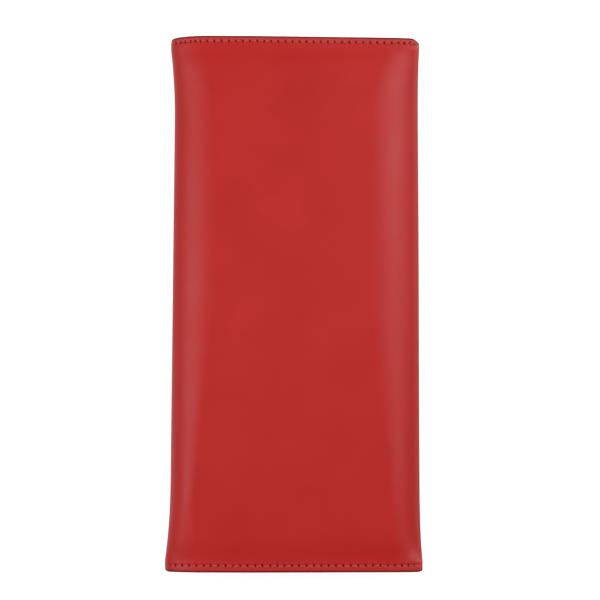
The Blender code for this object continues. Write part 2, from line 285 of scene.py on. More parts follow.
def addPiece(name, points, groups, materials, finish=None, **values):
    # A mesh whose faces all point out: where its signed volume is negative, they are turned
    fans = [group[:, [0, k, k + 1]] for group in groups for k in range(1, group.shape[1] - 1)]
    a, b, c = points[np.concatenate(fans).T]
    if np.sum(a * np.cross(b, c)) < 0:
        groups = [group[:, ::-1] for group in groups]
    mesh = bpy.data.meshes.new(name)
    mesh.from_pydata(points.tolist(), [], sum((group.tolist() for group in groups), []))
    for material in materials:
        mesh.materials.append(material)
    if finish is not None:
        mesh.polygons.foreach_set("material_index", finish.astype(np.int32))
    for key, value in values.items():
        kind, part = ("FLOAT_VECTOR", "vector") if value.ndim == 2 else ("FLOAT", "value")
        layer = mesh.attributes.new(key, kind, "POINT")
        layer.data.foreach_set(part, value.astype(np.float32).ravel())
    mesh.shade_smooth()
    mesh.set_sharp_from_angle(angle=sharpAngle)
    piece = bpy.data.objects.new(name, mesh)
    bpy.context.scene.collection.objects.link(piece)
    return piece


def fromHex(code):
    # sRGB hex to linear, by the sRGB curve
    parts = np.array([int(code[k : k + 2], 16) for k in (1, 3, 5)]) / 255
    linear = np.where(parts <= 0.04045, parts / 12.92, ((parts + 0.055) / 1.055) ** 2.4)
    return (*linear.tolist(), 1.0)


def newMaterial(name, **sockets):
    # A material and its Principled shader, with the values that are even all over it
    material = bpy.data.materials.new(name)
    material.use_nodes = True
    shader = material.node_tree.nodes["Principled BSDF"]
    for key, value in sockets.items():
        shader.inputs[key.replace("_", " ")].default_value = value
    return material, shader


def addNode(material, kind, links, values=None, **settings):
    # Links and values are given by the input's name or number, and settings are the node's own
    tree = material.node_tree
    added = tree.nodes.new(kind)
    for key, value in settings.items():
        setattr(added, key, value)
    for key, value in (values or {}).items():
        added.inputs[key].default_value = value
    for key, source in links.items():
        tree.links.new(source, added.inputs[key])
    return added


def wireUp(material, shader, **sources):
    for key, source in sources.items():
        material.node_tree.links.new(source, shader.inputs[key.replace("_", " ")])


calf = {
    "red": "#be1a14",
    "deep": "#ae0f0a",  # mottling of a drum dyed hide
    "pulled": "#bf4f4a",  # painted highlight and reflection: paler on the sewn bands and the two long folds
    # painted shade inside a needle hole
    "hole": "#5e0000",
    "paint": "#70191b",
    "mottle": 26 * mm,
    "pore": 0.5 * mm,  # a real pore is about 0.2 mm and wouldn't show
    "grainHeight": 0.012 * mm,
    "creaseWidth": 6 * mm,  # faint pulls in the finish
    "creaseHeight": 0.07 * mm,
    "roughness": (0.46, 0.62),
    "gloss": 0.5,
    "paintWide": 0.9 * mm,  # from a cut edge, and how softly it ends
    "paintFade": 0.4 * mm,
}


def smoothCalf():
    # Full grain calf, drum dyed and pigment finished: an even red with a soft gloss and a very fine
    # pebble grain. A painted highlight makes it paler on the sewn bands and the two long folds, a
    # painted shade darkens it inside a needle hole, and its cut edges are painted.
    material, shader = newMaterial("smoothCalf", IOR=1.42)
    hide = addNode(material, "ShaderNodeAttribute", {}, attribute_name="hide").outputs["Vector"]
    pull = addNode(material, "ShaderNodeAttribute", {}, attribute_name="pull").outputs["Fac"]
    hole = addNode(material, "ShaderNodeAttribute", {}, attribute_name="hole").outputs["Fac"]
    paint = addNode(material, "ShaderNodeAttribute", {}, attribute_name="paint").outputs["Fac"]
    cloud = addNode(
        material,
        "ShaderNodeTexNoise",
        {"Vector": hide},
        {"Scale": 1 / calf["mottle"], "Detail": 3.0, "Roughness": 0.55},
    ).outputs[0]
    pores = addNode(
        material,
        "ShaderNodeTexVoronoi",
        {"Vector": hide},
        {"Scale": 1 / calf["pore"], "Smoothness": 0.6},
        feature="SMOOTH_F1",
    ).outputs["Distance"]
    pulls = addNode(
        material,
        "ShaderNodeTexNoise",
        {"Vector": hide},
        {"Scale": 1 / calf["creaseWidth"], "Detail": 2.0},
    ).outputs[0]
    colour = addNode(
        material,
        "ShaderNodeMix",
        {0: cloud},
        {6: fromHex(calf["deep"]), 7: fromHex(calf["red"])},
        data_type="RGBA",
    ).outputs[2]
    # Mixed in turn: the pale painted highlight, the edge paint and the dark painted shade of the needle
    # holes
    for share, code in ((pull, "pulled"), (paint, "paint"), (hole, "hole")):
        colour = addNode(
            material, "ShaderNodeMix", {0: share, 6: colour}, {7: fromHex(calf[code])}, data_type="RGBA"
        ).outputs[2]
    rough = addNode(
        material,
        "ShaderNodeMapRange",
        {"Value": cloud},
        {"To Min": calf["roughness"][0], "To Max": calf["roughness"][1]},
    ).outputs["Result"]
    wide = addNode(
        material, "ShaderNodeBump", {"Height": pulls}, {"Distance": calf["creaseHeight"]}
    ).outputs["Normal"]
    fine = addNode(
        material,
        "ShaderNodeBump",
        {"Height": pores, "Normal": wide},
        {"Distance": calf["grainHeight"]},
    ).outputs["Normal"]
    # Neither a hole nor the painted edge has the finish's gloss
    dull = addNode(material, "ShaderNodeMath", {0: hole, 1: paint}, operation="MAXIMUM").outputs[0]
    gloss = addNode(
        material, "ShaderNodeMapRange", {"Value": dull}, {"To Min": calf["gloss"], "To Max": 0.0}
    ).outputs["Result"]
    sources = {"Base_Color": colour, "Roughness": rough, "Specular_IOR_Level": gloss}
    wireUp(material, shader, Normal=fine, **sources)
    return material


waveTurn = 0.2 * math.pi  # a Wave Texture repeats after this, over its scale


def twoTone(material, shader, pattern, finish):
    # A dark and a light tone mixed by one pattern, which is the relief too
    colour = addNode(
        material,
        "ShaderNodeMix",
        {0: pattern},
        {6: fromHex(finish["dark"]), 7: fromHex(finish["light"])},
        data_type="RGBA",
    ).outputs[2]
    relief = addNode(material, "ShaderNodeBump", {"Height": pattern}, {"Distance": finish["height"]})
    wireUp(material, shader, Base_Color=colour, Normal=relief.outputs["Normal"])


suede = {"light": "#a8544c", "dark": "#7f3a35", "fibre": 0.3 * mm, "height": 0.05 * mm}


def fleshSide():
    # The flesh side of the same hide, split and buffed: a dull nap of short fibres
    material, shader = newMaterial("fleshSide", Roughness=0.92, IOR=1.4)
    hide = addNode(material, "ShaderNodeAttribute", {}, attribute_name="hide").outputs["Vector"]
    fibres = addNode(
        material,
        "ShaderNodeTexNoise",
        {"Vector": hide},
        {"Scale": 1 / suede["fibre"], "Detail": 4.0, "Roughness": 0.7},
    ).outputs[0]
    twoTone(material, shader, fibres, suede)
    return material


edgePaint = {"light": "#8f2224", "dark": "#7b1418", "patch": 1.2 * mm, "height": 0.03 * mm}


def paintedEdge():
    # Cut edges, sanded and painted twice: darker and smoother than the hide, a little uneven
    material, shader = newMaterial("paintedEdge", Roughness=0.36, IOR=1.48)
    hide = addNode(material, "ShaderNodeAttribute", {}, attribute_name="hide").outputs["Vector"]
    patches = addNode(
        material, "ShaderNodeTexNoise", {"Vector": hide}, {"Scale": 1 / edgePaint["patch"]}
    ).outputs[0]
    twoTone(material, shader, patches, edgePaint)
    return material


yarn = {"light": "#d25c52", "dark": "#b53c34", "twist": 1.086 * mm, "height": 0.03 * mm}


def sewingYarn():
    # Bonded polyester thread of three plies: a tone lighter than the leather, with a low sheen
    # and the plies' twist running round it. Real plies lie about 0.4 mm apart and are drawn
    # coarser so that they show.
    material, shader = newMaterial("sewingYarn", Roughness=0.55, Sheen_Weight=0.15)
    ply = addNode(material, "ShaderNodeAttribute", {}, attribute_name="ply").outputs["Vector"]
    wave = addNode(
        material,
        "ShaderNodeTexWave",
        {"Vector": ply},
        {"Scale": waveTurn / yarn["twist"]},
        wave_type="BANDS",
        bands_direction="DIAGONAL",
    ).outputs[0]
    twoTone(material, shader, wave, yarn)
    return material


twill = {"light": "#2f2c2e", "dark": "#161416", "rib": 0.865 * mm, "height": 0.06 * mm}


def liningTwill():
    # Woven viscose twill: a diagonal rib across the cloth, dark with a silky sheen. A real rib
    # is about 0.3 mm and is drawn three times as coarse so that it shows.
    material, shader = newMaterial("liningTwill", Roughness=0.62, Sheen_Weight=0.3)
    hide = addNode(material, "ShaderNodeAttribute", {}, attribute_name="hide").outputs["Vector"]
    ribs = addNode(
        material,
        "ShaderNodeTexWave",
        {"Vector": hide},
        {"Scale": waveTurn / math.sqrt(2) / twill["rib"], "Distortion": 0.4, "Detail": 1.0},
        wave_type="BANDS",
        bands_direction="DIAGONAL",
    ).outputs[0]
    twoTone(material, shader, ribs, twill)
    return material


greyBoard = {"light": "#8d8577", "dark": "#655d50", "fibre": 0.8 * mm, "height": 0.03 * mm}


def stiffenerBoard():
    # Recycled grey board: pulp fibres pressed flat, dull and flecked
    material, shader = newMaterial("stiffenerBoard", Roughness=0.9)
    place = addNode(material, "ShaderNodeTexCoord", {}).outputs["Object"]
    pulp = addNode(
        material,
        "ShaderNodeTexNoise",
        {"Vector": place},
        {"Scale": 1 / greyBoard["fibre"], "Detail": 5.0},
    ).outputs[0]
    twoTone(material, shader, pulp, greyBoard)
    return material


wadding = {"light": "#e6e2d8", "dark": "#bdb7aa", "cell": 0.7 * mm, "height": 0.12 * mm}


def foamSheet():
    # Polyether foam, skived from a block: small open cells, matt and off-white
    material, shader = newMaterial("foamSheet", Roughness=0.95)
    hide = addNode(material, "ShaderNodeAttribute", {}, attribute_name="hide").outputs["Vector"]
    cells = addNode(
        material, "ShaderNodeTexVoronoi", {"Vector": hide}, {"Scale": 1 / wadding["cell"]}
    ).outputs["Distance"]
    twoTone(material, shader, cells, wadding)
    return material


print("holder: mixing the finishes")
calfSkin = smoothCalf()
flesh = fleshSide()
painted = paintedEdge()
thread = sewingYarn()
cloth = liningTwill()
board = stiffenerBoard()
foam = foamSheet()

seam = {
    topEnd: 2.4 * mm,  # from the sewn edge
    bottomEnd: 3.0 * mm,
    "pitch": 3.2 * mm,
    "tightPitch": 2.4 * mm,  # back-tacked beside the corners
    "cornerRun": 9.0 * mm,  # from the fore-edge
    "spineRun": (7.0 * mm, 20.0 * mm),  # the tight run beside the spine, at the top alone
    "runEase": 2.0 * mm,  # over which the pitch changes
    "jitter": 0.07 * mm,
    "groove": 0.10 * mm,
    "grooveWide": 0.6 * mm,
    "holeDepth": 0.45 * mm,
    "holeLong": 0.50 * mm,
    "holeWide": 0.33 * mm,
    "holeFull": 1.9,  # above 1 it has a flat floor
    "pucker": 0.06 * mm,
    "puckerAway": 0.9 * mm,  # from the seam's line
    "puckerWide": 0.5 * mm,
    "edgeRoll": 0.12 * mm,  # the leather falls this far from the seam to the cut edge
    "threadRadius": 0.15 * mm,
    "clear": 0.09,  # share of a stitch that lies inside each hole
    "slant": 0.45 * mm,  # a stitch's rise from hole to hole
    "sink": 0.45 * mm,
    "taper": 0.45,  # how much a stitch thins towards its ends
    "sag": 0.12 * mm,  # the lining gives this much between the stitches
    "pulled": {topEnd: 0.25, bottomEnd: 0.08},  # painted highlight: how pale the sewn band is, more at the top edge
    "pulledWide": 3.2 * mm,  # from the edge, and how softly it ends
    "pulledFade": 1.2 * mm,
    "pulledLine": 0.12,  # and how much paler along the seam
    "lineWide": 0.5 * mm,
}


def seamRun():
    # Along the seam's own line: the way run from mid-spine, with its x and place on the cover
    place = np.linspace(0, 3, 3001)
    x, depth = coverLine(seam[topEnd], topEnd, place)
    run = np.concatenate([[0], np.cumsum(np.hypot(np.diff(x), np.diff(depth)))])
    return run, x, place


runAt, runX, runPlace = seamRun()
seamLength = runAt[-1]


def stitchCount(run, end):
    # Stitches from mid-spine to here: the integral of one over the pitch, which is tighter
    # beside the fore-edge and, at the top, beside the spine
    fine = np.linspace(0, seamLength, 1200)
    ease = seam["runEase"]
    tight = easeStep((fine - seamLength + seam["cornerRun"]) / ease)
    if end == topEnd:
        first, last = seam["spineRun"]
        tight = tight + easeStep((fine - first) / ease) * easeStep((last - fine) / ease)
    pitch = seam["pitch"] + (seam["tightPitch"] - seam["pitch"]) * tight
    count = np.concatenate([[0], np.cumsum(np.diff(fine) / pitch[1:])])
    return np.interp(run, fine, count), fine, count


def needleHoles(end):
    # One at each whole count, and each a little out of place but for the one at mid-spine. The
    # last stands a third of a stitch or more from the fore-edge.
    _, fine, count = stitchCount(0.0, end)
    last = int(count[-1] - 0.3)
    even = np.interp(np.arange(last + 1), count, fine)
    uneven = np.random.default_rng(40 + end).normal(0, seam["jitter"], len(even))
    uneven[0] = 0.0
    return even + uneven


holes = {end: needleHoles(end) for end in (topEnd, bottomEnd)}


def edgeRound(distance):
    # A quarter circle of the edge's radius, as how far the surface lies below the sheet's face
    radius = leaf["edgeRadius"]
    inside = np.clip(radius - distance, 0, radius)
    return radius - np.sqrt(radius**2 - inside**2)


def seamRelief(run, margin, end):
    # How far the leather stands out (+) or in (-) beside the seam, and the needle holes' mask, which
    # also gives their painted shade
    away = margin - seam[end]
    shape = -seam["groove"] * bump(away, seam["grooveWide"])
    shape = shape - seam["edgeRoll"] * np.clip(-away / seam[end], 0, 1) ** 2
    count = stitchCount(run, end)[0]
    between = np.sin(math.pi * count) ** 2
    ridge = bump(np.abs(away) - seam["puckerAway"], seam["puckerWide"])
    shape = shape + seam["pucker"] * between * ridge
    hole = np.zeros(np.broadcast(run, margin).shape)
    near = np.abs(away[:, 0]) < 2 * mm
    across = run[:, :, None] - holes[end] if run.ndim == 2 else run[None, :, None] - holes[end]
    leaning = (across + end * away[near][:, :, None]) / math.sqrt(2)
    upright = (across - end * away[near][:, :, None]) / math.sqrt(2)
    wells = bump(leaning, seam["holeLong"]) * bump(upright, seam["holeWide"])
    hole[near] = np.minimum(seam["holeFull"] * wells.sum(axis=-1), 1.0)
    return shape - seam["holeDepth"] * hole, hole


def marginRows(end):
    # Rows close together at the cut edge and beside the seam, then further and further apart.
    # Of two rows nearer than 0.04 mm, one is left out.
    beside = np.array([0.17, 0.34, 0.52, 0.75, 1.05]) * mm
    band = np.array([4.4, 5.2]) * mm
    swelling = np.linspace(5.2, 40, 22)[1:] * mm
    rest = np.linspace(40 * mm, leaf["halfLength"], 13)[1:]
    line = seam[end]
    parts = [edgeSteps, line - beside, [line], line + beside, band, swelling, rest]
    rows = np.unique(np.round(np.concatenate(parts), 6))
    return rows[np.concatenate([[True], np.diff(rows) > 0.04 * mm])]


def bothEnds(rowsOf):
    # Margins and ends from the bottom edge to the top edge, with the middle row once
    low = rowsOf(bottomEnd)
    high = rowsOf(topEnd)[:-1][::-1]
    margin = np.concatenate([low, high])
    end = np.concatenate([np.full(len(low), bottomEnd), np.full(len(high), topEnd)])
    return margin[:, None], end[:, None]


waves = {
    "high": 0.05 * mm,
    "long": (17 * mm, 23 * mm),  # of the standing waves, along the run and the length
    "slanted": (9 * mm, 31 * mm),  # of the slanted ones
    "from": 12 * mm,  # they rise over this way from mid-spine
}


def waviness(run, y):
    # A few long low waves, as in any hand stretched leather: a product of two sines, and half
    # as much of a slanted one
    one = np.sin(run / waves["long"][0] + 0.8) * np.sin(y / waves["long"][1] + 0.3)
    two = np.sin(run / waves["slanted"][0] - y / waves["slanted"][1])
    return waves["high"] * (one + 0.5 * two)


def hidePlace(points):
    # The flat place on the hide: the way run along each row, and the place along the length
    steps = np.linalg.norm(np.diff(points, axis=1), axis=-1)
    run = np.concatenate([np.zeros((len(points), 1)), np.cumsum(steps, axis=1)], axis=1)
    return np.stack([run, points[:, :, 1], np.zeros_like(run)], axis=-1)


# A painted reflection of the white surroundings on the rims of the two long folds, stronger towards the
# top edge
rimSheen = {
    "fore": 0.85,  # how pale the painted reflection is on the fore-edge fold
    "foreWide": 3.2 * mm,
    "spine": 0.3,
    "spineWide": 2.2 * mm,
    "low": 0.3,  # share of it that is left at the bottom edge
}


def paintedRimSheen(x, margin, end):
    # A painted reflection on the two long folds: an eased step up to each outermost line, which fades in
    # a line towards the bottom edge
    _, spineShape, foreShape = leafShape(margin, end)
    towardsTop = 0.5 + 0.5 * end * (1 - margin / leaf["halfLength"])
    fore = rimSheen["fore"] * easeStep((x - foreShape[0]) / rimSheen["foreWide"] + 1)
    spine = rimSheen["spine"] * easeStep((-x - spineShape[0]) / rimSheen["spineWide"] + 1)
    return (fore + spine) * (rimSheen["low"] + (1 - rimSheen["low"]) * towardsTop)


def makeCover(name, front, replaced):
    # The outer face, the fore-edge fold and the flap, from mid-spine to the sleeve's mouth
    margin, end = bothEnds(marginRows)
    # Columns stand 0.28 mm apart over the face, close enough for the needle holes
    runs = np.concatenate([[0, 0.05, 0.15], np.arange(0.3, seamLength / mm - 2.2, 0.28)]) * mm
    facePlace = np.interp(runs, runAt, runPlace)
    facePlace = facePlace[facePlace < 2.8]
    flapWide = coverHigh[0] - foldRadius - mouthX
    flapPlace = np.concatenate([np.linspace(4, 4.985, 200), 5 - edgeSteps[::-1] / flapWide])
    foldPlace = np.concatenate([np.linspace(2.8, 3, 9)[:-1], np.linspace(3, 4, 11)[:-1]])
    place = np.concatenate([facePlace, foldPlace, flapPlace])[None, :]

    x, depth = coverLine(margin, end, place)
    # painted reflection on the two long folds
    rimSheenShare = paintedRimSheen(x, margin, end)
    normalX, normalDepth = coverNormal(margin, end, place)
    seamX = coverLine(seam[topEnd], topEnd, place[0])[0]
    run = np.interp(seamX, runX, runAt)
    toMouth = np.where(place[0] > 4, (5 - place[0]) * flapWide, 1.0)
    relief = np.zeros_like(x)
    hole = np.zeros_like(x)
    for side in (topEnd, bottomEnd):
        rows = (end[:, 0] == side) & (margin[:, 0] < boardMargin)
        relief[rows], hole[rows] = seamRelief(run, margin[rows], side)
    y = end * (leaf["halfLength"] - margin)
    # The back one stays above what it lies on
    uneven = waviness(run[None, :], y) - (0 if front else 1.5 * waves["high"])
    relief = relief + uneven * (1 - pressed(margin)) * easeStep(run / waves["from"])
    toEdge = np.minimum(margin, toMouth[None, :])
    relief = relief - edgeRound(toEdge)
    outer = toSpace(x + normalX * relief, depth + normalDepth * relief, margin, end, front)

    stretches = ((0, 1, 40), (1, 2, 50), (2, 3, 36), (3, 4, 10), (4, 5, 46))
    innerPlace = [np.linspace(low, high, steps)[1:] for low, high, steps in stretches]
    innerPlace = np.concatenate([[0], *innerPlace])
    # At the cut edge the two layers meet in the middle, glued and painted as one
    joined = (foldRadius - leaf["leather"]) * easeStep(1 - margin / leaf["glued"])
    skived = 1 - leaf["skived"] * easeStep(innerPlace[None, :] - 1)
    x, depth = coverLine(margin, end, innerPlace[None, :], leaf["leather"] * skived + joined)
    inner = toSpace(x, depth, margin, end, front)

    points, groups, finish = closedSheet(outer, place[0], inner, innerPlace)
    blank = np.zeros(inner.shape[0] * inner.shape[1])
    # Painted highlight: paler over the sewn band, more at the top edge, and along the seam's line,
    # together with the painted reflection on the folds
    away = np.abs(margin - np.where(end > 0, seam[topEnd], seam[bottomEnd]))
    band = easeStep((seam["pulledWide"] - margin) / seam["pulledFade"])
    band = band * np.where(end > 0, seam["pulled"][topEnd], seam["pulled"][bottomEnd])
    line = seam["pulledLine"] * bump(away, seam["lineWide"])
    pull = np.minimum(band + line + rimSheenShare, 1.0)
    paint = easeStep((calf["paintWide"] - toEdge) / calf["paintFade"])
    hide = [hidePlace(outer).reshape(-1, 3), hidePlace(inner).reshape(-1, 3)]
    piece = addPiece(
        name,
        points,
        groups,
        [calfSkin, flesh, painted],
        finish,
        hide=np.concatenate(hide),
        pull=np.concatenate([pull.ravel(), blank]),
        paint=np.concatenate([paint.ravel(), blank]),
        hole=np.concatenate([hole.ravel(), blank]),
    )
    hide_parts(*replaced)
    blendAtSpine(piece)


def blendAtSpine(piece):
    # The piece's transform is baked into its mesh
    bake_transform(piece)


def makeStitches(name, paths):
    # Short tubes from needle hole to needle hole: a circle carried along each path, whose
    # ends sink into the holes. Paths are centres, normals and sides, each stitch by point.
    centre, normal, side = paths
    around = np.linspace(0, 2 * math.pi, 9)[:-1]
    ring = np.cos(around)[:, None] * normal[:, :, None] + np.sin(around)[:, None] * side[:, :, None]
    along = np.linspace(-1, 1, centre.shape[1])
    radius = seam["threadRadius"] * np.sqrt(1 - seam["taper"] * along**6)
    points = centre[:, :, None] + radius[:, None, None] * ring
    count, steps, sides = points.shape[:3]
    ids = np.arange(count * steps * sides).reshape(count, steps, sides)
    ids = np.concatenate([ids, ids[:, :, :1]], axis=2)
    corners = [ids[:, :-1, :-1], ids[:, :-1, 1:], ids[:, 1:, 1:], ids[:, 1:, :-1]]
    tube = np.stack(corners, axis=-1).reshape(-1, 4)
    first = ids[:, 0, :-1][:, ::-1]
    last = ids[:, -1, :-1]
    lengthwise = np.linspace(0, seam["pitch"], steps)[None, :, None]
    girth = 2 * math.pi * seam["threadRadius"] * np.linspace(0, 1, sides)[None, None, :]
    ply = np.stack(np.broadcast_arrays(lengthwise, girth, 0 * points[..., 0]), axis=-1)
    piece = addPiece(name, points.reshape(-1, 3), [tube, first, last], [thread], ply=ply.reshape(-1, 3))
    blendAtSpine(piece)


def oneStitch(rise):
    # Along one stitch: its share, the share of the pitch, and its height, which falls with the
    # fourth power towards both holes
    share = np.linspace(0, 1, 9)[None, :]
    clear = seam["clear"] + (1 - 2 * seam["clear"]) * share
    lift = rise * seam["threadRadius"] - seam["sink"] * np.abs(2 * share - 1) ** 4
    return share, clear, lift


def stitchSteps(end):
    # From each hole to the next: the way run, the slant across it and the height over it
    share, clear, lift = oneStitch(0.3)
    run = holes[end][:-1, None] + np.diff(holes[end])[:, None] * clear
    across = end * seam["slant"] * (0.5 - share)
    return run, seam[end] + across + 0 * run, lift + 0 * run


def spread(x, depth, normalX, normalDepth, margin, end, front):
    # Points and directions of paths that run in a section
    centre = toSpace(x, depth, margin, end, front)
    up = -normalDepth if front else normalDepth
    normal = np.stack([normalX, 0 * normalX, up], axis=-1)
    side = np.zeros_like(normal)
    side[..., 1] = 1.0
    return centre, normal, side


def faceStitches(end, front):
    run, margin, lift = stitchSteps(end)
    place = np.interp(run, runAt, runPlace)
    x, depth = coverLine(margin, end, place)
    normalX, normalDepth = coverNormal(margin, end, place)
    lift = lift - seam["groove"]
    return spread(
        x + normalX * lift, depth + normalDepth * lift, normalX, normalDepth, margin, end, front
    )


def joinPaths(paths):
    return [np.concatenate(parts) for parts in zip(*paths)]


pocket = {
    "card": 0.45 * mm,  # thickness of a card pocket's leather
    "slip": 0.50 * mm,  # and of a slip pocket's
    "slant": 22 * mm,  # rise of the boarding pass pocket's mouth
    "inset": 1.8 * mm,  # from the sewn edge
    "edge": 0.5 * mm,  # no stitch stands this near a side edge
    "mouthBand": 2.0 * mm,  # a creased line runs this far below the mouth
    "creaseDepth": 0.12 * mm,
    "creaseWide": 0.25 * mm,
    "sideSeam": 1.6 * mm,  # from a side edge
    "belly": 0.10 * mm,  # the mouth stands a little open
    "bellyLong": 14 * mm,
    "bellyEase": 12 * mm,  # from each side
    "paintWide": 0.35 * mm,  # of its painted edge, and how softly it ends
    "paintFade": 0.2 * mm,
}


def pageDepth(x, margin, end, front):
    # The depth of whatever is outermost on the page side: the flap or the pockets over it
    depth = flapBase(margin)
    covered = (x > pocketLow[0] + pocket["edge"]) & (x < pocketHigh[0] - pocket["edge"])
    fromBottom = np.where(end > 0, 2 * leaf["halfLength"] - margin, margin)
    for thick, low, high in pocketLayers[front]:
        share = (x - pocketLow[0]) / (pocketHigh[0] - pocketLow[0])
        inside = covered & (fromBottom > pocket["inset"]) & (fromBottom < low + (high - low) * share)
        depth = depth + inside * (leaf["gap"] + thick)
    return depth


def pageStitches(end, front):
    # The same seam on the page side: on the lining up to the sleeve's mouth, then on the flap
    # or the pockets
    run, margin, lift = stitchSteps(end)
    place = np.interp(run, runAt, runPlace)
    x = coverLine(margin, end, place)[0]
    ends = x[:, [0, -1]]
    behind = leaf["leather"] + leaf["gap"] + leaf["lining"]
    onLining = ends.max(axis=1) < mouthX - pocket["edge"]
    foldFrom = coverHigh[0] - seam["pitch"]
    onFlap = (ends.min(axis=1) > mouthX + pocket["edge"]) & (ends.max(axis=1) < foldFrom)
    base = liningTop(margin) + leaf["lining"]
    clothX, clothDepth = liningLine(margin, end, place, behind, base)
    x = np.where(onLining[:, None], clothX, x)
    depth = np.where(onLining[:, None], clothDepth, pageDepth(x, margin, end, front))
    keep = onLining | onFlap
    # The lining's inner side faces the fore-edge at mid-spine and the other leaf further on
    across = np.gradient(clothX, axis=1)
    slope = np.gradient(clothDepth, axis=1) / np.where(across == 0, 1, across)
    turn = np.where(onLining[:, None], np.arctan(slope), 0.0)
    normalX, normalDepth = -np.sin(turn), np.cos(turn)
    lift = lift + np.where(onLining[:, None], seam["sag"], 0)
    x = x + normalX * lift
    depth = depth + normalDepth * lift
    paths = spread(x, depth, normalX, normalDepth, margin, end, front)
    return [part[keep] for part in paths]


def sideStitches(front, x):
    # A row along one side of the pockets, from above the bottom seam to the highest mouth
    top = max(high if x > 0 else low for _, low, high in pocketLayers[front])
    first = seam[bottomEnd] + seam["pitch"]
    count = int((top - pocket["mouthBand"] - first) / seam["pitch"])
    _, clear, lift = oneStitch(0.5)
    fromBottom = first + (np.arange(count)[:, None] + clear) * seam["pitch"]
    end = np.where(fromBottom > leaf["halfLength"], topEnd, bottomEnd)
    margin = np.minimum(fromBottom, 2 * leaf["halfLength"] - fromBottom)
    depth = pageDepth(x + 0 * margin, margin, end, front)
    # A stitch that crosses a mouth lies on the higher of the two layers
    depth = np.broadcast_to(depth.max(axis=1, keepdims=True), depth.shape)
    z = depth + lift
    z = leaf["thickness"] - z if front else z
    y = fromBottom - leaf["halfLength"]
    centre = np.stack(np.broadcast_arrays(x, y, z), axis=-1)
    normal = np.zeros_like(centre)
    normal[..., 2] = -1.0 if front else 1.0
    side = np.zeros_like(centre)
    side[..., 0] = 1.0
    return centre, normal, side


def liningLine(margin, end, place, inset, base):
    # Behind the leather round the spine for place 0 to 1, and flat over the board after it
    x, depth = coverLine(margin, end, np.minimum(place, 1.0), inset)
    depth = np.maximum(depth, base)
    x = x + (liningHigh[0] - x) * np.clip(place - 1, 0, 1)
    return x, depth


def makeLining(name, front, replaced):
    # A cloth from mid-spine to the fore-edge, behind the leather and over the board
    def rowsOf(end):
        first = leaf["liningMargin"]
        rows = marginRows(end)
        return np.concatenate([[first], rows[rows > first + 0.3 * mm]])

    margin, end = bothEnds(rowsOf)
    place = np.concatenate([np.linspace(0, 1, 40), np.linspace(1, 2, 50)[1:]])
    behind = leaf["leather"] + leaf["gap"]
    base = liningTop(margin)
    sheets = []
    for inset, below in ((behind, base), (behind + leaf["lining"], base + leaf["lining"])):
        x, depth = liningLine(margin, end, place[None, :], inset, below)
        sheets.append(toSpace(x, depth, margin, end, front))
    points, groups, _ = closedSheet(sheets[0], place, sheets[1], place)
    hide = np.concatenate([hidePlace(sheet).reshape(-1, 3) for sheet in sheets])
    piece = addPiece(name, points, groups, [cloth], hide=hide)
    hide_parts(*replaced)
    blendAtSpine(piece)


def makePadding(name, front, body, replaced):
    # Foam between the leather and the board: its top follows the face and its base is flat
    rows = marginRows(topEnd)
    rows = np.concatenate([[boardMargin], rows[rows > boardMargin + mm]])
    margin, end = bothEnds(lambda _: rows)
    place = np.linspace(0, 1, 90)
    x = paddingLow[0] + (paddingHigh[0] - paddingLow[0]) * place[None, :] + 0 * margin
    top = faceDepth(x, margin, end) + leaf["leather"] + leaf["gap"]
    base = boardDepth - leaf["gap"] + 0 * x
    sheets = [toSpace(x, depth, margin, end, front) for depth in (top, base)]
    points, groups, _ = closedSheet(sheets[0], place, sheets[1], place)
    hide = np.concatenate([hidePlace(sheet).reshape(-1, 3) for sheet in sheets])
    piece = addPiece(name, points, groups, [foam], hide=hide)
    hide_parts(*replaced)
    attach(piece, body)


